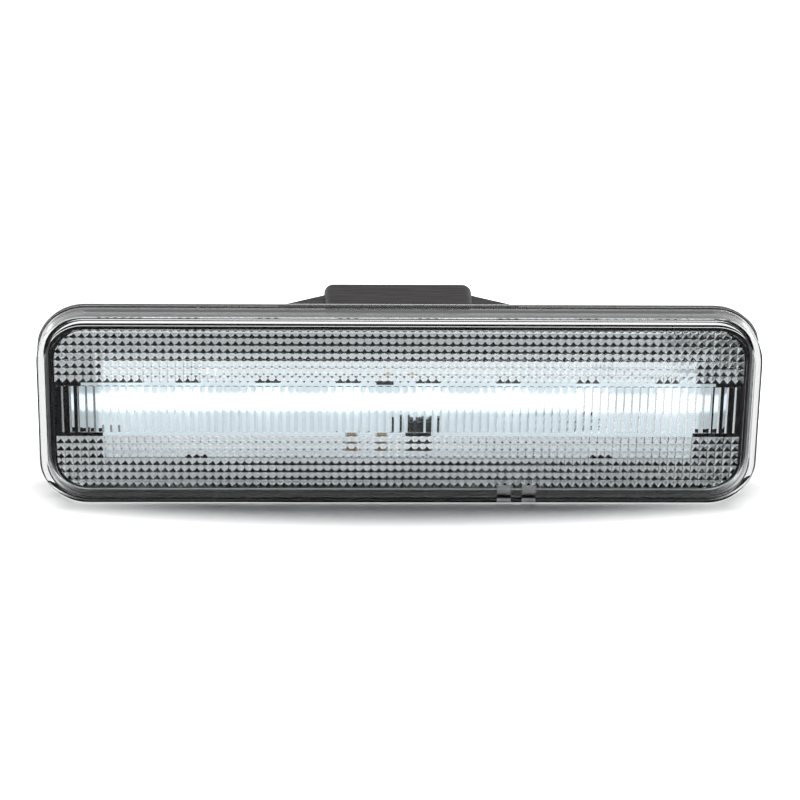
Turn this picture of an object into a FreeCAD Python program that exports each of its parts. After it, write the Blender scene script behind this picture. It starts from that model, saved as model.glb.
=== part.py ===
"""Side marker lamp: a clear prism lens on a black moulded housing, with a row of light-emitting diodes inside.

Millimetres. The origin is midway between the two mounting screws, on the rear faces of their bosses. +X runs along
the lamp, +Z is up and the lens faces -Y. "Forward" is the distance from the boss faces towards -Y. The lens and the
lip of the housing inside it end flush at boss_reach, where the lamp sits on a panel.
"""
import FreeCAD, Part
import math
import os
import re

import Sketcher

# Each size is set by itself, apart from the two that are written as a formula in the sizes that they follow.
SIZES = {
    # lens cap
    "lens_width": 180.4,
    "lens_height": 50.2,
    "lens_depth": 9.0,
    "lens_corner": 11.8,
    "lens_wall": 1.9,
    "face_thickness": 2.4,
    "rail_width": 2.0,
    "rail_height": 0.5,
    "rail_bevel": 0.25,
    "rim_bevel": 0.5,
    "bead_inset": 3.0,
    "bead_width": 0.9,
    "bead_height": 0.35,
    "flange_overhang": 0.6,
    "flange_thickness": 1.0,
    "flange_bevel": 0.2,
    "flange_root": 0.35,
    "rabbet_wall": 1.3,
    # drain notch in the lower rim
    "notch_center": 29.8,
    "notch_width": 9.8,
    "notch_tab": 2.8,
    "notch_foot": 0.7,
    "notch_low": 1.7,
    "notch_high": 2.4,
    "notch_deep": 2.2,
    "notch_shallow": 1.4,
    # prism optics on the inner face
    "field_border": 3.8,
    "prism_pitch": 2.0,
    "prism_height": 1.0,
    "flute_band": 14.5,
    "flute_gap": 1.0,
    "flute_height": 0.5,
    "flute_crown": 0.84,
    "flute_crown_rise": 0.08,
    "optic_land": 0.05,
    "optic_sink": 0.4,
    # housing
    "boss_reach": 14.0,
    "boss_spacing": 120.0,
    "boss_diameter": 9.0,
    "pilot_diameter": 3.4,
    "pilot_sink": 0.2,
    "housing_gap": 0.7,
    "rim_reach": 3.7,
    "rim_thickness": 0.7,
    "lip_thickness": 1.6,
    "lip_play": 0.1,
    "tray_depth": 8.0,
    "tray_wall": 2.0,
    "tray_bevel": 2.0,
    "hump_base": 84.6,
    "hump_top": 36.0,
    "hump_inset": 2.2,
    "hump_height": "=lens_height - 2 * (lens_wall + housing_gap + hump_inset)",
    "hump_draft": 0.2,
    "hump_depth": 22.3,
    "hump_bevel": 0.8,
    "hump_wall": 2.0,
    "block_width": 37.8,
    "block_height": 24.0,
    "block_top": 22.35,
    "block_depth": 23.8,
    "block_corner": 2.4,
    "block_bevel": 1.2,
    "socket_width": 22.0,
    "socket_height": 12.0,
    "socket_depth": 13.0,
    "socket_corner": 1.2,
    "socket_wall": 2.0,
    "socket_floor": 2.0,
    # seal
    "seal_length": 1.2,
    # board and its supports
    "board_width": 149.6,
    "board_height": 26.0,
    "board_thickness": 1.6,
    "tongue_width": 160.0,
    "tongue_height": 15.0,
    "board_setback": 1.2,
    "rib_width": 2.0,
    "rib_height": 8.0,
    "rib_inset": 8.5,
    "rib_rise": 17.0,
    "clip_stand": 9.0,
    "clip_width": 6.0,
    "clip_thickness": 1.6,
    "clip_lip": 0.8,
    "clip_lip_thickness": 1.0,
    "board_play": 0.2,
    # light-emitting diodes
    "led_span": 135.0,
    "led_first_step": 14.4,
    "led_pitch": "=(led_span - led_first_step) / 6",
    "led_rise": 0.2,
    "led_width": 5.4,
    "led_height": 5.0,
    "led_thickness": 1.6,
    "led_window": 4.0,
    "led_recess": 0.35,
    "led_chamfer": 0.8,
    # small parts of the drive circuit
    "resistor_length": 2.0,
    "resistor_width": 1.25,
    "resistor_thickness": 0.55,
    "resistor_rise": 7.6,
    "capacitor_length": 3.2,
    "capacitor_width": 2.5,
    "capacitor_thickness": 1.7,
    "chip_bevel": 0.15,
    "diode_step": 9.2,
    "diode_rise": 6.6,
    "diode_length": 4.3,
    "diode_width": 2.6,
    "diode_thickness": 2.1,
    "diode_lead_width": 1.5,
    "diode_lead_reach": 0.5,
    "lead_thickness": 0.3,
    "driver_length": 6.4,
    "driver_width": 6.6,
    "driver_thickness": 2.3,
    "driver_tab_width": 5.2,
    "driver_tab_reach": 0.7,
    "driver_lead_width": 0.8,
    "driver_lead_reach": 1.2,
    "driver_lead_spacing": 4.6,
    # terminals
    "terminal_spacing": 6.0,
    "terminal_thickness": 0.8,
    "blade_width": 2.8,
    "blade_stop": 4.0,
    "tail_width": 1.4,
    "tail_proud": 1.0,
    "terminal_play": 0.1,
}

LED_COUNT = 8
# across from the middle, and up from the board's lower edge
CAPACITOR_PLACES = {"capacitor": (-4.4, 3.0), "input_capacitor": (-12.0, 3.0)}
DRIVER_PLACE = (4.9, 4.8)
SIDES = (("left", "-"), ("right", ""))
TOUCH = 1e-4

V = FreeCAD.Vector
doc = FreeCAD.newDocument("side_marker_lamp")
sheet = doc.addObject("Spreadsheet::Sheet", "Sizes")
for row, (alias, value) in enumerate(SIZES.items(), start=1):
    sheet.set(f"A{row}", alias)
    sheet.set(f"B{row}", str(value))
    sheet.setAlias(f"B{row}", alias)
doc.recompute()


def mm(text):
    """Value of an expression in the sheet's sizes."""
    return float(sheet.evalExpression(text))


def bind(thing, name, text):
    """Drive a property or a named constraint by an expression in the sheet's sizes."""
    thing.setExpression(name, re.sub(r"\b([a-z]+_[a-z_]+)\b", r"Sizes.\1", text))


# Planes and outlines that several pieces share, as expressions in the sheet's sizes.
CREST = "boss_reach + lens_depth"
FACE = f"{CREST} - rail_height"
OPTIC_PLANE = f"{FACE} - face_thickness"
BOARD_BACK = "boss_reach - board_setback"
BOARD_FRONT = f"{BOARD_BACK} + board_thickness"
TRAY_BACK = "boss_reach - tray_depth"
TRAY_FLOOR = f"{TRAY_BACK} + tray_wall"
BLOCK_BACK = "boss_reach - block_depth"
BLOCK_MIDDLE = "block_top - block_height / 2"
SHELL = "lens_wall + housing_gap"
SOCKET_FLOOR = f"{BLOCK_BACK} + socket_depth"


def inset(text):
    """Width, height and corner of the lens's outline, brought in by a distance all round."""
    return (f"lens_width - 2 * ({text})", f"lens_height - 2 * ({text})", f"lens_corner - ({text})")


def new_body(name):
    """A new sub-part, whose label names its file."""
    body = doc.addObject("PartDesign::Body", name)
    body.Label = name
    return body


def sketch_on(body, name, forward="0", across="0", up="0"):
    """A sketch that faces forward, at this distance from the boss faces."""
    sketch = body.newObject("Sketcher::SketchObject", name)
    plane = next(f for f in body.Origin.OriginFeatures if f.Role == "XZ_Plane")
    sketch.AttachmentSupport = (plane, [""])
    sketch.MapMode = "FlatFace"
    bind(sketch, "AttachmentOffset.Base.x", across)
    bind(sketch, "AttachmentOffset.Base.y", up)
    bind(sketch, "AttachmentOffset.Base.z", forward)
    return sketch


def constrain(sketch, text, *arguments):
    """Add a constraint with a value and drive it by an expression."""
    index = sketch.addConstraint(Sketcher.Constraint(*arguments, mm(text)))
    name = f"size_{index}"
    sketch.renameConstraint(index, name)
    bind(sketch, f"Constraints.{name}", text)


def rounded_rectangle(sketch, width, height, corner):
    """Draw a centred rectangle with round corners, driven by three expressions."""
    half_width, half_height, radius = mm(width) / 2, mm(height) / 2, mm(corner)
    x, y = half_width - radius, half_height - radius
    starts = (V(-x, -half_height), V(half_width, -y), V(x, half_height), V(-half_width, y))
    ends = (V(x, -half_height), V(half_width, y), V(-x, half_height), V(-half_width, -y))
    centers = (V(x, -y), V(x, y), V(-x, y), V(-x, -y))
    lines, arcs = [], []
    for turn in range(4):
        angle = math.radians(90 * turn - 90)
        circle = Part.Circle(centers[turn], V(0, 0, 1), radius)
        lines.append(sketch.addGeometry(Part.LineSegment(starts[turn], ends[turn])))
        arcs.append(sketch.addGeometry(Part.ArcOfCircle(circle, angle, angle + math.pi / 2)))
    for turn in range(4):
        following = lines[(turn + 1) % 4]
        sketch.addConstraint(Sketcher.Constraint("Tangent", lines[turn], 2, arcs[turn], 1))
        sketch.addConstraint(Sketcher.Constraint("Tangent", arcs[turn], 2, following, 1))
        direction = "Vertical" if turn % 2 else "Horizontal"
        sketch.addConstraint(Sketcher.Constraint(direction, lines[turn]))
    for arc in arcs[1:]:
        sketch.addConstraint(Sketcher.Constraint("Equal", arcs[0], arc))
    sketch.addConstraint(Sketcher.Constraint("Symmetric", arcs[0], 3, arcs[2], 3, -1, 1))
    constrain(sketch, corner, "Radius", arcs[0])
    constrain(sketch, width, "DistanceX", lines[3], 1, lines[1], 1)
    constrain(sketch, height, "DistanceY", lines[0], 1, lines[2], 1)


def rectangle(sketch, width, height):
    """Draw a centred rectangle, driven by two expressions."""
    x, y = mm(width) / 2, mm(height) / 2
    corners = (V(-x, -y), V(x, -y), V(x, y), V(-x, y))
    lines = []
    for side in range(4):
        segment = Part.LineSegment(corners[side], corners[(side + 1) % 4])
        lines.append(sketch.addGeometry(segment))
    for side in range(4):
        following = lines[(side + 1) % 4]
        sketch.addConstraint(Sketcher.Constraint("Coincident", lines[side], 2, following, 1))
        direction = "Vertical" if side % 2 else "Horizontal"
        sketch.addConstraint(Sketcher.Constraint(direction, lines[side]))
    sketch.addConstraint(Sketcher.Constraint("Symmetric", lines[0], 1, lines[2], 1, -1, 1))
    constrain(sketch, width, "DistanceX", lines[0], 1, lines[0], 2)
    constrain(sketch, height, "DistanceY", lines[1], 1, lines[1], 2)


def circle_at_origin(sketch, diameter):
    """Draw a circle about the sketch's origin."""
    ring = sketch.addGeometry(Part.Circle(V(0, 0, 0), V(0, 0, 1), mm(diameter) / 2))
    sketch.addConstraint(Sketcher.Constraint("Coincident", ring, 3, -1, 1))
    constrain(sketch, diameter, "Diameter", ring)


def extrude(body, kind, name, sketch, length, reverse=False):
    """Pad a sketch forward or pocket it backward, or the other way if reversed."""
    feature = body.newObject(f"PartDesign::{kind}", name)
    feature.Profile = sketch
    feature.Reversed = reverse
    feature.Refine = False
    bind(feature, "Length", length)
    doc.recompute()
    return feature


def pocket(body, name, sketch, length, reverse=False):
    """Cut a sketch into the body, and make sure that it took something away."""
    before = body.Shape.Volume
    feature = extrude(body, "Pocket", name, sketch, length, reverse)
    if body.Shape.Volume > before - TOUCH:
        raise RuntimeError(f"{body.Label}: {name} cuts nothing")
    return feature


def rounded_plate(body, name, outline, forward, length, kind="Pad", up="0"):
    """Pad or cut a round-cornered outline."""
    sketch = sketch_on(body, f"{name}_outline", forward, up=up)
    rounded_rectangle(sketch, *outline)
    if kind == "Pad":
        return extrude(body, "Pad", name, sketch, length)
    return pocket(body, name, sketch, length)


def outline_distance(point, width, height, corner, up):
    """How far a point lies outside a round-cornered outline, seen from the front."""
    x = abs(point.x) - (width / 2 - corner)
    z = abs(point.z - up) - (height / 2 - corner)
    return math.hypot(max(x, 0), max(z, 0)) + min(max(x, z), 0) - corner


def outline_edges(shape, outline, forward, up="0"):
    """Names of the edges that lie along a round-cornered outline in one plane."""
    width, height, corner = (mm(text) for text in outline)
    plane = -mm(forward)
    names = []
    for number, edge in enumerate(shape.Edges, start=1):
        points = (edge.valueAt(edge.FirstParameter), edge.valueAt(edge.LastParameter), edge.CenterOfMass)
        level = all(abs(point.y - plane) < TOUCH for point in points)
        middle = edge.valueAt((edge.FirstParameter + edge.LastParameter) / 2)
        if level and abs(outline_distance(middle, width, height, corner, mm(up))) < TOUCH:
            names.append(f"Edge{number}")
    return names


def bevel(body, name, edges, size):
    """Chamfer named edges of the body's last feature."""
    if not edges:
        raise RuntimeError(f"{body.Label}: {name} finds no edge")
    chamfer = body.newObject("PartDesign::Chamfer", name)
    chamfer.Base = (chamfer.BaseFeature, edges)
    bind(chamfer, "Size", size)
    doc.recompute()
    return chamfer


def bevel_outline(body, name, outline, forward, size, up="0"):
    """Chamfer the body's edges along a round-cornered outline."""
    return bevel(body, name, outline_edges(body.Shape, outline, forward, up), size)


def rim_ring(body, name, outer, inner, forward):
    """A sketch of the ring between two outlines."""
    sketch = sketch_on(body, name, forward)
    rounded_rectangle(sketch, *outer)
    rounded_rectangle(sketch, *inner)
    return sketch


def make_lens_cap():
    """The clear cap: side wall, back flange, rabbet for the housing, front rail, inner bead and drain notch."""
    body = new_body("lens_cap")
    rounded_plate(body, "wall", inset("0"), "boss_reach", "lens_depth")
    rounded_plate(body, "flange", inset("-flange_overhang"), "boss_reach", "flange_thickness")
    for name, offset, depth in (
        ("cavity", "lens_wall", f"{OPTIC_PLANE} - boss_reach"),
        ("rabbet", "rabbet_wall", "lip_thickness"),
    ):
        sketch = sketch_on(body, f"{name}_outline", "boss_reach")
        rounded_rectangle(sketch, *inset(offset))
        pocket(body, name, sketch, depth, reverse=True)
    rounded_plate(body, "face", inset("rail_width"), CREST, "rail_height", kind="Pocket")
    bead = rim_ring(body, "bead_ring", inset("bead_inset"), inset("bead_inset + bead_width"), FACE)
    extrude(body, "Pad", "bead", bead, "bead_height")

    overhang, step = inset("-flange_overhang"), "boss_reach + flange_thickness"
    bevel_outline(body, "flange_front", overhang, step, "flange_bevel")
    bevel_outline(body, "flange_foot", inset("0"), step, "flange_root")
    bevel_outline(body, "rim_edge", inset("0"), CREST, "rim_bevel")
    bevel_outline(body, "rail_edge", inset("rail_width"), CREST, "rail_bevel")

    foot = "notch_foot - lens_height / 2"
    cell = "(notch_width - notch_tab) / 2"
    for side, sign in SIDES:
        across = f"notch_center {sign or '+'} (notch_tab + {cell}) / 2"
        for level, up, height, depth in (
            ("lower", f"{foot} + notch_low / 2", "notch_low", "notch_deep"),
            ("upper", f"{foot} + notch_low + notch_high / 2", "notch_high", "notch_shallow"),
        ):
            sketch = sketch_on(body, f"notch_{side}_{level}", CREST, across, up)
            rectangle(sketch, cell, height)
            pocket(body, f"notch_{side}_{level}_cut", sketch, depth)
    return body


def profile_face(points):
    """A flat face with this polygon as its edge."""
    return Part.Face(Part.makePolygon([*points, points[0]]))


def part_feature(name, shape):
    """A document object that holds a computed shape."""
    feature = doc.addObject("Part::Feature", name)
    feature.Shape = shape
    return feature


def common(name, base, tool):
    """What two objects share."""
    shared = doc.addObject("Part::Common", name)
    shared.Base = base
    shared.Tool = tool
    return shared


def make_optics():
    """Pyramid prisms, as one saw-tooth bar crossed with another, and the band of upright flutes between them."""
    pitch, peak = mm("prism_pitch"), mm("prism_height")
    plane = -mm(OPTIC_PLANE)
    root, land = plane - mm("optic_sink"), plane + mm("optic_land")
    columns = math.floor(mm("(lens_width - 2 * field_border) / prism_pitch") + TOUCH)
    half_band = mm("flute_band / 2")
    rows = math.floor((mm("lens_height / 2 - field_border") - half_band) / pitch + TOUCH)
    left, top = -columns * pitch / 2, half_band + rows * pitch

    # upright teeth across the whole width
    points = [V(-left, root, -top), V(left, root, -top)]
    for column in range(columns):
        points.append(V(left + column * pitch, land, -top))
        points.append(V(left + (column + 0.5) * pitch, land + peak, -top))
    points.append(V(-left, land, -top))
    upright = part_feature("upright_teeth", profile_face(points).extrude(V(0, 0, 2 * top)))

    # level teeth below and above a plain band
    points = [V(left, root, top), V(left, root, -top)]
    for start in (-top, half_band):
        for line in range(rows):
            points.append(V(left, land, start + line * pitch))
            points.append(V(left, land + peak, start + (line + 0.5) * pitch))
        points.append(V(left, land, start + rows * pitch))
    level = part_feature("level_teeth", profile_face(points).extrude(V(-2 * left, 0, 0)))

    # the field keeps the round corners of the lens
    body = new_body("field")
    sketch = sketch_on(body, "field_outline", f"{OPTIC_PLANE} + optic_sink")
    rounded_rectangle(sketch, str(-2 * left), str(2 * top), "lens_corner - field_border")
    extrude(body, "Pad", "field_pad", sketch, "optic_sink + optic_land + prism_height", reverse=True)
    trimmed = common("trimmed_teeth", level, body)
    prisms = common("prisms", trimmed, upright)

    # flutes, each with a steep flat on either side of a low crown
    foot, low = land + mm("optic_land"), mm("flute_gap") - half_band
    ridge, crown = foot + mm("flute_height"), mm("flute_crown / 2")
    shoulder = ridge - mm("flute_crown_rise")
    points = [V(-left, root, low), V(left, root, low)]
    for column in range(columns):
        middle = left + (column + 0.5) * pitch
        points.append(V(middle - pitch / 2, foot, low))
        points.append(V(middle - crown, shoulder, low))
        points.append(V(middle, ridge, low))
        points.append(V(middle + crown, shoulder, low))
    points.append(V(-left, foot, low))
    flutes = part_feature("flutes", profile_face(points).extrude(V(0, 0, -2 * low)))
    return [prisms, flutes]


def make_lens():
    """The whole lens in one piece: cap and optics."""
    lens = doc.addObject("Part::MultiFuse", "lens")
    lens.Label = "lens"
    lens.Shapes = [make_lens_cap(), *make_optics()]
    lens.Refine = False
    doc.recompute()
    return lens


def loft(body, kind, name, near, far):
    """Loft between two rectangles, each given with its distance forward."""
    sketches = []
    for end, (width, height, forward) in (("near", near), ("far", far)):
        sketch = sketch_on(body, f"{name}_{end}", forward)
        rectangle(sketch, width, height)
        sketches.append(sketch)
    feature = body.newObject(f"PartDesign::{kind}", name)
    feature.Profile = sketches[0]
    feature.Sections = [sketches[1]]
    feature.Ruled = True
    doc.recompute()
    return feature


def make_housing():
    """The black tray with its lip, bosses, ribs and clips, and the hip-shaped hump with the connector block."""
    body = new_body("housing")
    rounded_plate(body, "tray", inset(SHELL), TRAY_BACK, "tray_depth + rim_reach")
    rounded_plate(body, "lip", inset("rabbet_wall + lip_play"), "boss_reach", "lip_thickness")
    bevel_outline(body, "tray_edge", inset(SHELL), TRAY_BACK, "tray_bevel")
    front = "boss_reach + rim_reach"
    rounded_plate(body, "rim_hollow", inset(f"{SHELL} + rim_thickness"), front, "rim_reach", kind="Pocket")
    hollow = inset(f"{SHELL} + tray_wall")
    rounded_plate(body, "tray_hollow", hollow, "boss_reach", "tray_depth - tray_wall", kind="Pocket")
    for side, sign in SIDES:
        add_boss(body, f"boss_{side}", f"{sign}boss_spacing / 2")
        for level, lift in (("lower", "-"), ("upper", "")):
            across = f"{sign}(board_width / 2 - rib_inset)"
            add_rib(body, f"rib_{side}_{level}", across, f"{lift}rib_rise / 2")
            add_clip(body, f"clip_{side}_{level}", f"{sign}(hump_base / 2 + clip_stand)", lift)
    add_hump(body)
    add_socket(body)
    return body


def add_boss(body, name, across):
    """A screw boss on the tray's back, with a blind pilot hole."""
    boss = sketch_on(body, name, "0", across)
    circle_at_origin(boss, "boss_diameter")
    extrude(body, "Pad", f"{name}_pad", boss, f"{TRAY_BACK} + tray_wall / 2")
    pilot = sketch_on(body, f"{name}_pilot", "0", across)
    circle_at_origin(pilot, "pilot_diameter")
    pocket(body, f"{name}_hole", pilot, f"{TRAY_BACK} + pilot_sink", reverse=True)


def add_rib(body, name, across, up):
    """A flat rib from the tray's floor to the board's back."""
    rib = sketch_on(body, name, TRAY_FLOOR, across, up)
    rectangle(rib, "rib_width", "rib_height")
    extrude(body, "Pad", f"{name}_pad", rib, f"{BOARD_BACK} - ({TRAY_FLOOR})")


def hip_edges(shape):
    """Names of the straight edges that lean both sideways and backward."""
    names = []
    for number, edge in enumerate(shape.Edges, start=1):
        box = edge.BoundBox
        if min(box.XLength, box.YLength) > mm("(hump_depth - tray_depth) / 2"):
            names.append(f"Edge{number}")
    return names


def add_hump(body):
    """The hollow hip-shaped hump in the tray's back, and the bevelled block at its middle."""
    back = "boss_reach - hump_depth"
    near = ("hump_base", "hump_height", TRAY_FLOOR)
    far = ("hump_top", "hump_height - 2 * hump_draft", back)
    loft(body, "AdditiveLoft", "hump", near, far)
    bevel(body, "hump_hips", hip_edges(body.Shape), "hump_bevel")
    block = ("block_width", "block_height", "block_corner")
    rounded_plate(body, "block", block, BLOCK_BACK, "block_depth - tray_depth", up=BLOCK_MIDDLE)
    bevel_outline(body, "block_edge", block, BLOCK_BACK, "block_bevel", up=BLOCK_MIDDLE)
    hollow = "hump_height - 2 * hump_wall"
    near = ("hump_base - 2 * hump_wall", hollow, TRAY_FLOOR)
    far = ("hump_top - 2 * hump_wall", f"{hollow} - 2 * hump_draft", f"{back} + hump_wall")
    loft(body, "SubtractiveLoft", "hump_hollow", near, far)


def add_socket(body):
    """The connector socket in the block, with a slot for each terminal in its floor."""
    wall = ("socket_width + 2 * socket_wall", "socket_height + 2 * socket_wall", "socket_corner + socket_wall")
    start = f"{BLOCK_BACK} + block_bevel"
    rounded_plate(body, "shroud", wall, start, "socket_depth + socket_floor - block_bevel", up=BLOCK_MIDDLE)
    socket = sketch_on(body, "socket_outline", BLOCK_BACK, up=BLOCK_MIDDLE)
    rounded_rectangle(socket, "socket_width", "socket_height", "socket_corner")
    pocket(body, "socket", socket, "socket_depth", reverse=True)
    for side, sign in SIDES:
        slot = sketch_on(body, f"slot_{side}", SOCKET_FLOOR, f"{sign}terminal_spacing / 2", BLOCK_MIDDLE)
        rectangle(slot, "blade_width + 2 * terminal_play", "terminal_thickness + 2 * terminal_play")
        pocket(body, f"slot_{side}_cut", slot, "socket_floor", reverse=True)


def add_clip(body, name, across, lift):
    """A moulded hook beside the board's long edge, with a lip over its front."""
    edge = "board_height / 2 + board_play"
    stem = sketch_on(body, f"{name}_stem", TRAY_FLOOR, across, f"{lift}({edge} + clip_thickness / 2)")
    rectangle(stem, "clip_width", "clip_thickness")
    top = f"{BOARD_FRONT} + board_play + clip_lip_thickness"
    extrude(body, "Pad", f"{name}_stem_pad", stem, f"{top} - ({TRAY_FLOOR})")
    middle = f"{lift}({edge} + (clip_thickness - clip_lip) / 2)"
    lip = sketch_on(body, f"{name}_lip", f"{BOARD_FRONT} + board_play", across, middle)
    rectangle(lip, "clip_width", "clip_thickness + clip_lip")
    extrude(body, "Pad", f"{name}_lip_pad", lip, "clip_lip_thickness")


def make_seal():
    """The ring between the lens's wall and the tray, in front of the lip."""
    body = new_body("lens_seal")
    outer, inner = inset("lens_wall"), inset(SHELL)
    ring = rim_ring(body, "seal_ring", outer, inner, "boss_reach + lip_thickness")
    extrude(body, "Pad", "seal", ring, "seal_length")
    return body


def make_board():
    """The board, with a narrower tongue at each end and a hole for the tail of each terminal."""
    body = new_body("circuit_board")
    for name in ("board", "tongue"):
        sketch = sketch_on(body, f"{name}_outline", BOARD_BACK)
        rectangle(sketch, f"{name}_width", f"{name}_height")
        pad = extrude(body, "Pad", name, sketch, "board_thickness")
        pad.Refine = True
    for side, sign in SIDES:
        hole = sketch_on(body, f"hole_{side}", BOARD_BACK, f"{sign}terminal_spacing / 2", BLOCK_MIDDLE)
        rectangle(hole, "tail_width + 2 * terminal_play", "terminal_thickness + 2 * terminal_play")
        pocket(body, f"hole_{side}_cut", hole, "board_thickness", reverse=True)
    return body


def place(body, across, up, forward=BOARD_FRONT):
    """Set a piece that was drawn at the origin down on the board's front."""
    bind(body, "Placement.Base.x", across)
    bind(body, "Placement.Base.y", f"-({forward})")
    bind(body, "Placement.Base.z", up)


def on_board(across, edge):
    """Expressions for a spot at this distance from the board's lower edge."""
    return str(across), f"{edge} - board_height / 2"


def upright_edges(shape):
    """Names of the edges that run straight forward."""
    names = []
    for number, edge in enumerate(shape.Edges, start=1):
        box = edge.BoundBox
        if box.XLength < TOUCH and box.ZLength < TOUCH:
            names.append(f"Edge{number}")
    return names


def led_across(number):
    """Place along the row, which has even steps from the right-hand end and a shorter one at the left."""
    return "-led_span / 2" if number == 1 else f"led_span / 2 - {LED_COUNT - number} * led_pitch"


def make_led(number):
    """One diode package, with a marked corner and a window in its front."""
    body = new_body(f"led_{number}")
    package = sketch_on(body, "package_outline")
    rectangle(package, "led_width", "led_height")
    extrude(body, "Pad", "package", package, "led_thickness")
    corner = min(
        upright_edges(body.Shape),
        key=lambda name: sum(tuple(body.Shape.getElement(name).CenterOfMass)),
    )
    bevel(body, "mark", [corner], "led_chamfer")
    window = sketch_on(body, "window_outline", "led_thickness")
    rectangle(window, "led_window", "led_window")
    pocket(body, "window", window, "led_recess")
    place(body, led_across(number), "led_rise")
    return body


def make_chip(name, length, width, thickness, across, up):
    """A block-shaped surface part with bevelled upright edges."""
    body = new_body(name)
    sketch = sketch_on(body, "chip_outline")
    rectangle(sketch, length, width)
    extrude(body, "Pad", "chip", sketch, thickness)
    bevel(body, "chip_edges", upright_edges(body.Shape), "chip_bevel")
    place(body, across, up)
    return body


def make_diode():
    """Moulded diode with a flat lead under each end."""
    body = new_body("diode")
    leads = sketch_on(body, "lead_outline")
    rectangle(leads, "diode_length + 2 * diode_lead_reach", "diode_lead_width")
    extrude(body, "Pad", "leads", leads, "lead_thickness")
    case = sketch_on(body, "case_outline", "0")
    rectangle(case, "diode_length", "diode_width")
    extrude(body, "Pad", "case", case, "diode_thickness")
    place(body, f"{led_across(LED_COUNT // 2)} + diode_step", "diode_rise")
    return body


def make_driver():
    """Power package of the drive circuit: case, cooling tab above and two leads below."""
    body = new_body("driver_chip")
    case = sketch_on(body, "case_outline")
    rectangle(case, "driver_length", "driver_width")
    extrude(body, "Pad", "case", case, "driver_thickness")
    tab = sketch_on(body, "tab_outline", up="driver_tab_reach / 2")
    rectangle(tab, "driver_tab_width", "driver_width + driver_tab_reach")
    extrude(body, "Pad", "tab", tab, "lead_thickness")
    for side, sign in SIDES:
        lead = sketch_on(body, f"lead_{side}", "0", f"{sign}driver_lead_spacing / 2", "-driver_lead_reach / 2")
        rectangle(lead, "driver_lead_width", "driver_width + driver_lead_reach")
        extrude(body, "Pad", f"lead_{side}_pad", lead, "lead_thickness")
    place(body, *on_board(*DRIVER_PLACE))
    return body


def make_terminal(name, sign):
    """A blade in the socket, whose tail goes forward through the board."""
    body = new_body(name)
    across = f"{sign}terminal_spacing / 2"
    tip = f"{BLOCK_BACK} + blade_stop"
    blade = sketch_on(body, "blade_outline", tip, across, BLOCK_MIDDLE)
    rectangle(blade, "blade_width", "terminal_thickness")
    extrude(body, "Pad", "blade", blade, f"{SOCKET_FLOOR} + socket_floor - ({tip})")
    tail = sketch_on(body, "tail_outline", f"{SOCKET_FLOOR} + socket_floor", across, BLOCK_MIDDLE)
    rectangle(tail, "tail_width", "terminal_thickness")
    extrude(body, "Pad", "tail", tail, f"{BOARD_FRONT} + tail_proud - ({SOCKET_FLOOR} + socket_floor)")
    return body


def make_all():
    """Every sub-part of the lamp."""
    nodes = [make_lens(), make_housing(), make_seal(), make_board()]
    resistor = ("resistor_length", "resistor_width", "resistor_thickness")
    for number in range(1, LED_COUNT + 1):
        nodes.append(make_led(number))
        nodes.append(make_chip(f"resistor_{number}", *resistor, led_across(number), "resistor_rise"))
    capacitor = ("capacitor_length", "capacitor_width", "capacitor_thickness")
    for name, spot in CAPACITOR_PLACES.items():
        nodes.append(make_chip(name, *capacitor, *on_board(*spot)))
    nodes += [make_diode(), make_driver()]
    nodes += [make_terminal("terminal_positive", ""), make_terminal("terminal_ground", "-")]
    return nodes


def write(nodes):
    """Check the document, then write each sub-part to its own file."""
    doc.recompute()
    failed = [item.Label for item in doc.Objects if {"Invalid", "Error"} & set(item.State)]
    if failed:
        raise RuntimeError(f"not built: {failed}")
    for node in nodes:
        if node.Shape.isNull() or not node.Shape.isValid():
            raise RuntimeError(f"{node.Label} has no valid shape")
    os.makedirs("parts", exist_ok=True)
    for node in nodes:
        node.Shape.exportStep(f"parts/{node.Label}.step")
        solids = len(node.Shape.Solids)
        print(f"{node.Label}: {solids} solid, {node.Shape.Volume:.1f} cubic mm")


write(make_all())
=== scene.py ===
"""Looks of a lit side marker lamp: clear prism lens, black housing, white board and diodes."""
import math

import bpy
from mathutils import Matrix, Vector


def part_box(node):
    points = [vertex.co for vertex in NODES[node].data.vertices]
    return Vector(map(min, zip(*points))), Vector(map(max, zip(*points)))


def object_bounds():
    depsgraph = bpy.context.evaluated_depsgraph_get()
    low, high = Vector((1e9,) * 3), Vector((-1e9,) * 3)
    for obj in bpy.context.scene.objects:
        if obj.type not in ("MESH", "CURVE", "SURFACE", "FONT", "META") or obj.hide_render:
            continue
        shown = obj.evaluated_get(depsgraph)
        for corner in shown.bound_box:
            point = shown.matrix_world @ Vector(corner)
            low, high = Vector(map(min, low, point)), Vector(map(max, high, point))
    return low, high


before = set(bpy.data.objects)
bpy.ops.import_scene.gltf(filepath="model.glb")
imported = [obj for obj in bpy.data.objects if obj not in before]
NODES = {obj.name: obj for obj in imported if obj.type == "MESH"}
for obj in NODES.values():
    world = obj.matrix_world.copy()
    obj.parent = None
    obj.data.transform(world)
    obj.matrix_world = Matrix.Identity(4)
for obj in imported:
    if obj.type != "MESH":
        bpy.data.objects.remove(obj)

CAD_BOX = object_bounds()
MM = 0.001
WHITE = (1.0, 1.0, 1.0)

# Camera, in degrees and metres, with its focal length in pixels of the picture
IMAGE_SIZE = 800
CAMERA_AZIMUTH = -2.00
CAMERA_ELEVATION = 23.1
CAMERA_ROLL = 0.90
CAMERA_DISTANCE = 711.5 * MM
CAMERA_TARGET = Vector((0.1, -18.0, 1.45)) * MM
CAMERA_CLIP = 10.0 * MM
FOCAL_PIXELS = 2831.0
SENSOR = 36.0

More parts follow.
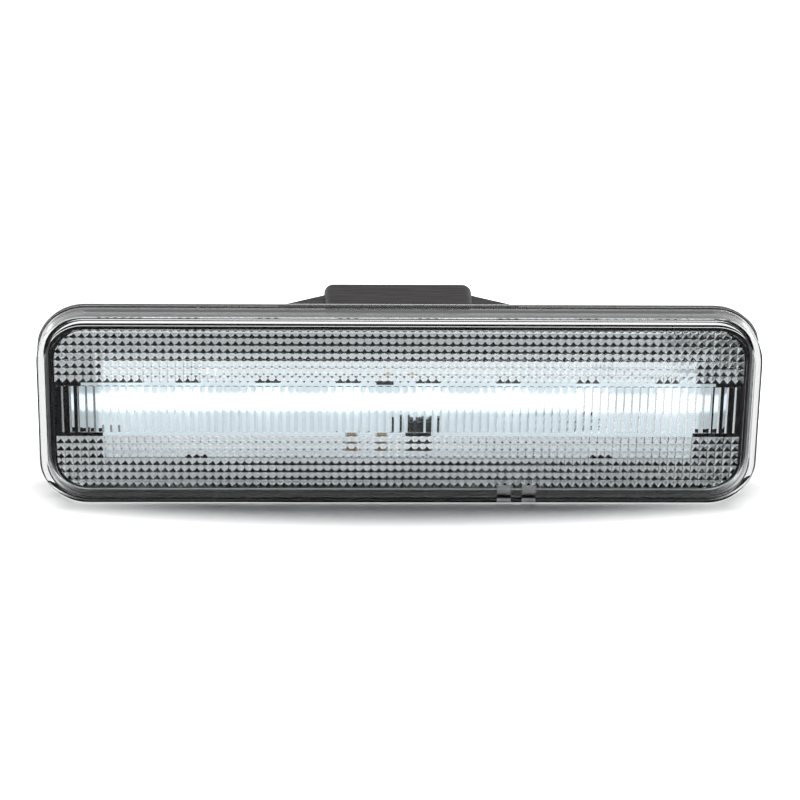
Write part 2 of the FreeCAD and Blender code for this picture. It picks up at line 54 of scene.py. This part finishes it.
# Lens: its tint, painted shade on the face round the window in front of the board and on the lower prisms,
# and the etched cells of the drain notch
ACRYLIC_INDEX = 1.49
CLEAR = (0.97, 0.985, 0.98)
FACE_TINT = (0.86, 0.92, 0.95)
FACE_PLANE = -22.5 * MM
FACE_DEPTH = 0.1 * MM
WINDOW_HALF = (74.5 * MM, 12.5 * MM)
WINDOW_HEIGHT = 1.0 * MM
WINDOW_EDGE = 1.0 * MM
BORDER_PAINTED_SHADE = 0.46
LOWER_FIELD = (-6.4 * MM, -7.0 * MM)
LOWER_PAINTED_SHADE = 0.27
OUTER_HALF = (90.2 * MM, 25.1 * MM)
OUTER_DEPTH = 0.3 * MM
WEAK_GLOSS = (0.25, 0.25, 0.25)
NOTCH_PLACE = Vector((29.8, -21.5, -21.5)) * MM
NOTCH_STEP = 3.15 * MM
NOTCH_CELL = (1.75 * MM, 1.2 * MM)
ETCHING = 0.6

# Housing and seal
HOUSING_BLACK = ((0.006, 0.005, 0.0055), (0.011, 0.008, 0.0095))
HOUSING_INSIDE = (-6.0 * MM, -8.0 * MM)
OUTSIDE_GLOSS = 0.16
INSIDE_GLOSS = 0.02
INSIDE_MATT = 0.3
GRAIN_STRETCH = (0.08, 1.0, 1.0)
GRAIN_DEPTH = 0.05 * MM
SEAL_GREY = ((0.2, 0.2, 0.205), (0.28, 0.28, 0.285))

# Board, with painted light from the diodes, brightest in a strip along their row, and a dark print at each
# resistor
BOARD_WHITE = ((0.76, 0.81, 0.83), (0.84, 0.88, 0.9))
BOARD_PAINTED_LIGHT = (0.82, 0.93, 1.0)
BOARD_PAINTED_GLOW = 0.45
ROW_PAINTED_GLOW = 0.95
ROW_DROP = 0.7 * MM
PAINTED_ROW_FADE = (3.0 * MM, 1.6 * MM)
PRINT_SHARE = (0.03, 0.03, 0.03)
PRINT_PAINTED_LIGHT = (0.02, 0.02, 0.02)
PRINT_HEIGHT = 8.1 * MM
PRINT_REACH = (3.0 * MM, 0.9 * MM)

# Diodes and the small parts on the board
LED_COUNT = 8
LED_HEIGHT = sum(corner[2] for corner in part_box("led_1")) / 2
LED_STEP = 20.1 * MM
LED_ENDS = (-67.5 * MM, 67.5 * MM)
LED_GLOW = 1.7
LED_WINDOW = (0.9, 0.82, 0.45)
LED_CASE = (0.85, 0.85, 0.83)
LED_CASE_EDGE = (0.36, 0.41)
LED_CASE_DIMMING = 0.3
LED_LIGHT = (0.92, 0.97, 1.0)
CHIP_BLACK = (0.02, 0.022, 0.022)
CERAMIC_TAN = (0.35, 0.24, 0.14)
TIN = (0.62, 0.62, 0.6)
BRASS = ((0.68, 0.48, 0.2), (0.76, 0.56, 0.28))

# Surroundings, in metres
FLOOR_REACH = 6.0
FLOOR_COLOUR = (0.9, 0.9, 0.9)
FLOOR_ROUGHNESS = 0.9
PAINTED_SHADOW_SQUEEZE = 0.35
PAINTED_SHADOW_FADE = (0.027, 0.047)
GLASS_FADE = (0.2, 0.4)
SKY_LIGHT = 0.1

# Range of a noise texture, and the colour sockets of a mix node
NOISE_RANGE = (0.3, 0.7)
MIX_FIRST = 6
MIX_SECOND = 7
MIX_RESULT = 2


def new_material(name):
    """A node material with its Principled shader, ready to be dressed."""
    material = bpy.data.materials.new(name)
    material.use_nodes = True
    return material, material.node_tree, material.node_tree.nodes["Principled BSDF"]


def plug(tree, shader, name, source):
    """Drives one input of a shader by a socket."""
    tree.links.new(source, shader.inputs[name])


def noise(tree, scale, detail=2.0, stretch=(1.0, 1.0, 1.0)):
    """Noise over the object's own coordinates, in metres, which may be drawn out along an axis."""
    place = tree.nodes.new("ShaderNodeTexCoord")
    mapping = tree.nodes.new("ShaderNodeMapping")
    mapping.inputs["Scale"].default_value = stretch
    texture = tree.nodes.new("ShaderNodeTexNoise")
    texture.inputs["Scale"].default_value = scale
    texture.inputs["Detail"].default_value = detail
    tree.links.new(place.outputs["Object"], mapping.inputs["Vector"])
    tree.links.new(mapping.outputs["Vector"], texture.inputs["Vector"])
    return texture.outputs["Fac"]


def spread(tree, source, low, high):
    """Maps the range of a noise onto the range from low to high."""
    step = tree.nodes.new("ShaderNodeMapRange")
    step.inputs["From Min"].default_value = NOISE_RANGE[0]
    step.inputs["From Max"].default_value = NOISE_RANGE[1]
    step.inputs["To Min"].default_value = low
    step.inputs["To Max"].default_value = high
    tree.links.new(source, step.inputs["Value"])
    return step.outputs["Result"]


def math_node(tree, operation, first, second=0.0):
    """A sum, product or the like of two values, each a socket or a number."""
    node = tree.nodes.new("ShaderNodeMath")
    node.operation = operation
    for socket, value in zip(node.inputs, (first, second)):
        if isinstance(value, (int, float)):
            socket.default_value = value
        else:
            tree.links.new(value, socket)
    return node.outputs[0]


def fade(tree, source, start, end):
    """A smooth step from 0 at start to 1 at end."""
    step = tree.nodes.new("ShaderNodeMapRange")
    step.interpolation_type = "SMOOTHSTEP"
    step.inputs["From Min"].default_value = start
    step.inputs["From Max"].default_value = end
    tree.links.new(source, step.inputs["Value"])
    return step.outputs["Result"]


def blend(tree, factor, first, second):
    """A colour that goes from the first to the second with the factor."""
    mix = tree.nodes.new("ShaderNodeMix")
    mix.data_type = "RGBA"
    tree.links.new(factor, mix.inputs[0])
    mix.inputs[MIX_FIRST].default_value = (*first, 1.0)
    mix.inputs[MIX_SECOND].default_value = (*second, 1.0)
    return mix.outputs[MIX_RESULT]


def axes(tree, kind="Object"):
    """The object's own coordinates, in metres or as shares of its box, one socket for each axis."""
    place = tree.nodes.new("ShaderNodeTexCoord")
    split = tree.nodes.new("ShaderNodeSeparateXYZ")
    tree.links.new(place.outputs[kind], split.inputs[0])
    return split.outputs["X"], split.outputs["Y"], split.outputs["Z"]


def off(tree, source, middle):
    """How far a coordinate lies from a middle, on either side."""
    return math_node(tree, "ABSOLUTE", math_node(tree, "SUBTRACT", source, middle))


def bump(tree, shader, height, strength, distance):
    """Raises and lowers the surface's shading with a noise."""
    node = tree.nodes.new("ShaderNodeBump")
    node.inputs["Strength"].default_value = strength
    node.inputs["Distance"].default_value = distance
    tree.links.new(height, node.inputs["Height"])
    plug(tree, shader, "Normal", node.outputs["Normal"])


def lens_tint_and_painted_shade(tree, x, y, z):
    """Clear, with a faint tint on the front face, and painted shade on it round the window and, weaker, on
    the lower prisms.
    """
    face = math_node(tree, "LESS_THAN", off(tree, y, FACE_PLANE), FACE_DEPTH)
    sides = fade(tree, off(tree, x, 0.0), WINDOW_HALF[0], WINDOW_HALF[0] + WINDOW_EDGE)
    ends = fade(tree, off(tree, z, WINDOW_HEIGHT), WINDOW_HALF[1], WINDOW_HALF[1] + WINDOW_EDGE)
    # Painted shade: the face is darkened round the window and, less, on the lower prisms.
    border = math_node(tree, "MULTIPLY", face, math_node(tree, "MAXIMUM", sides, ends))
    lower = math_node(tree, "MULTIPLY", face, fade(tree, z, *LOWER_FIELD))
    border_shade = math_node(tree, "MULTIPLY", border, BORDER_PAINTED_SHADE)
    lower_shade = math_node(tree, "MULTIPLY", lower, LOWER_PAINTED_SHADE)
    shade = math_node(tree, "MAXIMUM", border_shade, lower_shade)
    tint = tree.nodes.new("ShaderNodeVectorMath")
    tint.operation = "SCALE"
    tree.links.new(blend(tree, face, CLEAR, FACE_TINT), tint.inputs[0])
    tree.links.new(math_node(tree, "SUBTRACT", 1.0, shade), tint.inputs["Scale"])
    return tint.outputs[0]


def outer_wall(tree, x, z):
    """1 on the outer side wall of the lens, 0 elsewhere."""
    past_side = math_node(tree, "SUBTRACT", off(tree, x, 0.0), OUTER_HALF[0])
    past_end = math_node(tree, "SUBTRACT", off(tree, z, 0.0), OUTER_HALF[1])
    return math_node(tree, "GREATER_THAN", math_node(tree, "MAXIMUM", past_side, past_end), -OUTER_DEPTH)


def notch_cells(tree, x, y, z):
    """1 in the two upper side cells of the drain notch, 0 elsewhere."""
    from_cell = off(tree, off(tree, x, NOTCH_PLACE[0]), NOTCH_STEP)
    across = math_node(tree, "LESS_THAN", from_cell, NOTCH_CELL[0])
    up = math_node(tree, "LESS_THAN", off(tree, z, NOTCH_PLACE[2]), NOTCH_CELL[1])
    front = math_node(tree, "LESS_THAN", y, NOTCH_PLACE[1])
    return math_node(tree, "MULTIPLY", math_node(tree, "MULTIPLY", across, up), front)


def clear_plastic():
    """Polished acrylic, glossiest on its outer wall and etched in the drain notch."""
    material, tree, shader = new_material("clear_acrylic")
    shader.inputs["IOR"].default_value = ACRYLIC_INDEX
    x, y, z = axes(tree)
    plug(tree, shader, "Base Color", lens_tint_and_painted_shade(tree, x, y, z))
    plug(tree, shader, "Specular Tint", blend(tree, outer_wall(tree, x, z), WEAK_GLOSS, WHITE))
    etched = math_node(tree, "MULTIPLY", notch_cells(tree, x, y, z), ETCHING)
    plug(tree, shader, "Transmission Weight", math_node(tree, "SUBTRACT", 1.0, etched))
    polish = spread(tree, noise(tree, scale=900.0), low=0.0, high=0.02)
    plug(tree, shader, "Roughness", math_node(tree, "ADD", polish, etched))
    return material


def black_plastic():
    """Moulded black plastic with a fine grain along the lamp, matt on the inside."""
    material, tree, shader = new_material("black_plastic")
    plug(tree, shader, "Base Color", blend(tree, noise(tree, scale=400.0), *HOUSING_BLACK))
    inside = fade(tree, axes(tree)[1], *HOUSING_INSIDE)
    loss = math_node(tree, "MULTIPLY", inside, INSIDE_GLOSS - OUTSIDE_GLOSS)
    plug(tree, shader, "Specular IOR Level", math_node(tree, "ADD", loss, OUTSIDE_GLOSS))
    grain = noise(tree, scale=1500.0, stretch=GRAIN_STRETCH)
    matt = math_node(tree, "MULTIPLY", inside, INSIDE_MATT)
    plug(tree, shader, "Roughness", math_node(tree, "ADD", spread(tree, grain, low=0.38, high=0.55), matt))
    bump(tree, shader, grain, strength=0.25, distance=GRAIN_DEPTH)
    return material


def seal_rubber():
    """Grey rubber, matt and finely grained."""
    material, tree, shader = new_material("seal_rubber")
    grain = noise(tree, scale=1500.0)
    plug(tree, shader, "Base Color", blend(tree, grain, *SEAL_GREY))
    plug(tree, shader, "Roughness", spread(tree, grain, low=0.6, high=0.8))
    return material


def resistor_print(tree, x, z):
    """1 on the dark print round each resistor, above each diode, 0 elsewhere."""
    steps = math_node(tree, "PINGPONG", math_node(tree, "SUBTRACT", LED_ENDS[1], x), LED_STEP / 2)
    nearest = math_node(tree, "MINIMUM", steps, off(tree, x, LED_ENDS[0]))
    across = math_node(tree, "LESS_THAN", nearest, PRINT_REACH[0])
    up = math_node(tree, "LESS_THAN", off(tree, z, PRINT_HEIGHT), PRINT_REACH[1])
    return math_node(tree, "MULTIPLY", across, up)


def board_white():
    """White solder mask with painted light from the diodes, brightest along their row."""
    material, tree, shader = new_material("board_white")
    grain = noise(tree, scale=300.0)
    plug(tree, shader, "Roughness", spread(tree, grain, low=0.35, high=0.45))
    x, _, z = axes(tree)
    dark = resistor_print(tree, x, z)
    tint = tree.nodes.new("ShaderNodeVectorMath")
    tint.operation = "MULTIPLY"
    tree.links.new(blend(tree, grain, *BOARD_WHITE), tint.inputs[0])
    tree.links.new(blend(tree, dark, WHITE, PRINT_SHARE), tint.inputs[1])
    plug(tree, shader, "Base Color", tint.outputs[0])
    # Painted light: the board's emission stands in for the diodes' light falling on it, strongest along
    # their row.
    plug(tree, shader, "Emission Color", blend(tree, dark, BOARD_PAINTED_LIGHT, PRINT_PAINTED_LIGHT))
    away = off(tree, z, LED_HEIGHT - ROW_DROP)
    painted_glow = math_node(tree, "MULTIPLY", fade(tree, away, *PAINTED_ROW_FADE), ROW_PAINTED_GLOW)
    plug(tree, shader, "Emission Strength", math_node(tree, "ADD", painted_glow, BOARD_PAINTED_GLOW))
    return material


def led_package():
    """Pale case around a lit, yellowish window."""
    material, tree, shader = new_material("led_package")
    x, _, z = axes(tree, "Generated")
    from_middle = math_node(tree, "MAXIMUM", off(tree, x, 0.5), off(tree, z, 0.5))
    case = fade(tree, from_middle, *LED_CASE_EDGE)
    plug(tree, shader, "Base Color", blend(tree, case, LED_WINDOW, LED_CASE))
    plug(tree, shader, "Roughness", spread(tree, noise(tree, scale=2000.0), low=0.3, high=0.5))
    shader.inputs["Emission Color"].default_value = (*LED_LIGHT, 1.0)
    dimming = math_node(tree, "MULTIPLY", case, LED_CASE_DIMMING)
    plug(tree, shader, "Emission Strength", math_node(tree, "SUBTRACT", LED_GLOW, dimming))
    return material


def tinned_part(name, colour, axis, middle, reach):
    """A moulded case with bare metal beyond a reach, in shares of the part's box, from its middle."""
    material, tree, shader = new_material(name)
    metal = math_node(tree, "GREATER_THAN", off(tree, axes(tree, "Generated")[axis], middle), reach)
    plug(tree, shader, "Base Color", blend(tree, metal, colour, TIN))
    plug(tree, shader, "Metallic", metal)
    plug(tree, shader, "Roughness", spread(tree, noise(tree, scale=3000.0), low=0.35, high=0.6))
    return material


def terminal_brass():
    """Bright brass with a slight grain."""
    material, tree, shader = new_material("terminal_brass")
    grain = noise(tree, scale=2000.0)
    plug(tree, shader, "Base Color", blend(tree, grain, *BRASS))
    shader.inputs["Metallic"].default_value = 1.0
    plug(tree, shader, "Roughness", spread(tree, grain, low=0.2, high=0.35))
    return material


def dress(names, material):
    """Gives each named node the material as its only one."""
    for name in names:
        node = NODES[name]
        node.data.materials.clear()
        node.data.materials.append(material)


def dress_all():
    """Gives every node its material."""
    numbers = range(1, LED_COUNT + 1)
    resistor = tinned_part("resistor", CHIP_BLACK, axis=0, middle=0.5, reach=0.32)
    ceramic = tinned_part("ceramic", CERAMIC_TAN, axis=0, middle=0.5, reach=0.36)
    diode_case = tinned_part("diode_case", CHIP_BLACK, axis=0, middle=0.5, reach=0.41)
    driver_case = tinned_part("driver_case", CHIP_BLACK, axis=2, middle=0.53, reach=0.39)
    dress(["lens"], clear_plastic())
    dress(["housing"], black_plastic())
    dress(["lens_seal"], seal_rubber())
    dress(["circuit_board"], board_white())
    dress(["led_%d" % number for number in numbers], led_package())
    dress(["resistor_%d" % number for number in numbers], resistor)
    dress(["capacitor", "input_capacitor"], ceramic)
    dress(["diode"], diode_case)
    dress(["driver_chip"], driver_case)
    dress(["terminal_positive", "terminal_ground"], terminal_brass())


def background_ray(tree):
    """1 for a ray from the camera, from gloss or through the clear lens, 0 for any other."""
    path = tree.nodes.new("ShaderNodeLightPath")
    seen = math_node(tree, "MAXIMUM", path.outputs["Is Camera Ray"], path.outputs["Is Glossy Ray"])
    return math_node(tree, "MAXIMUM", seen, path.outputs["Is Transmission Ray"])


def floor_white():
    """White floor, lifted to full white for the camera outside an ellipse round the lamp, which paints the
    fall-off of its real shadow, and for glass further out.
    """
    material, tree, shader = new_material("floor_white")
    shader.inputs["Base Color"].default_value = (*FLOOR_COLOUR, 1.0)
    shader.inputs["Roughness"].default_value = FLOOR_ROUGHNESS
    shader.inputs["Specular IOR Level"].default_value = 0.0
    shader.inputs["Emission Color"].default_value = (*WHITE, 1.0)
    x, y, _ = axes(tree)
    # Painted shadow: the camera's lift fades in across a squeezed ellipse round the lamp, shaping the
    # fall-off of its real shadow.
    along = math_node(tree, "MULTIPLY", x, PAINTED_SHADOW_SQUEEZE)
    squares = [math_node(tree, "MULTIPLY", side, side) for side in (along, y)]
    away = math_node(tree, "SQRT", math_node(tree, "ADD", *squares))
    path = tree.nodes.new("ShaderNodeLightPath")
    near = math_node(tree, "MULTIPLY", fade(tree, away, *PAINTED_SHADOW_FADE), path.outputs["Is Camera Ray"])
    far = math_node(tree, "MULTIPLY", fade(tree, away, *GLASS_FADE), background_ray(tree))
    plug(tree, shader, "Emission Strength", math_node(tree, "MAXIMUM", near, far))
    return material


def add_floor():
    """A floor under the lamp, which keeps its shadow."""
    low = CAD_BOX[0][2]
    mesh = bpy.data.meshes.new("floor")
    signs = [(-1, -1), (1, -1), (1, 1), (-1, 1)]
    corners = [(across * FLOOR_REACH, along * FLOOR_REACH, low) for across, along in signs]
    mesh.from_pydata(corners, [], [(0, 1, 2, 3)])
    floor = bpy.data.objects.new("floor", mesh)
    bpy.context.scene.collection.objects.link(floor)
    mesh.materials.append(floor_white())


def set_world():
    """White surroundings, seen as white by the camera, by gloss and through the clear lens."""
    world = bpy.data.worlds.new("studio")
    bpy.context.scene.world = world
    world.use_nodes = True
    tree = world.node_tree
    sky = tree.nodes["Background"]
    level = math_node(tree, "MULTIPLY", background_ray(tree), 1.0 - SKY_LIGHT)
    plug(tree, sky, "Strength", math_node(tree, "ADD", level, SKY_LIGHT))
    sky.inputs["Color"].default_value = (*WHITE, 1.0)


def add_area(name, place, aim, size, power):
    """A rectangular lamp that looks from its place at its aim."""
    light = bpy.data.lights.new(name, "AREA")
    light.shape = "RECTANGLE"
    light.size = size[0]
    light.size_y = size[1]
    light.energy = power
    lamp = bpy.data.objects.new(name, light)
    bpy.context.scene.collection.objects.link(lamp)
    lamp.location = place
    lamp.rotation_euler = (Vector(aim) - Vector(place)).to_track_quat("-Z", "Y").to_euler()


def add_lights():
    """One long soft box above and a little behind the lamp."""
    add_area("top_box", place=(0.0, 0.16, 0.9), aim=(0.0, 0.1, 0.0), size=(1.6, 0.3), power=11.5)


def add_camera():
    """The photo's view, from the front and a little above."""
    azimuth = math.radians(CAMERA_AZIMUTH)
    elevation = math.radians(CAMERA_ELEVATION)
    roll = math.radians(CAMERA_ROLL)
    back = Vector((
        math.sin(azimuth) * math.cos(elevation),
        -math.cos(azimuth) * math.cos(elevation),
        math.sin(elevation),
    ))
    level = Vector((math.cos(azimuth), math.sin(azimuth), 0.0))
    upright = back.cross(level)
    right = math.cos(roll) * level + math.sin(roll) * upright
    up = math.cos(roll) * upright - math.sin(roll) * level
    data = bpy.data.cameras.new("camera")
    data.sensor_width = SENSOR
    data.lens = FOCAL_PIXELS / IMAGE_SIZE * SENSOR
    data.clip_start = CAMERA_CLIP
    camera = bpy.data.objects.new("camera", data)
    bpy.context.scene.collection.objects.link(camera)
    turn = Matrix((right, up, back)).transposed().to_4x4()
    camera.matrix_world = Matrix.Translation(CAMERA_TARGET + back * CAMERA_DISTANCE) @ turn
    bpy.context.scene.camera = camera


dress_all()
add_floor()
set_world()
add_lights()
add_camera()
bpy.context.scene.view_settings.view_transform = "Standard"
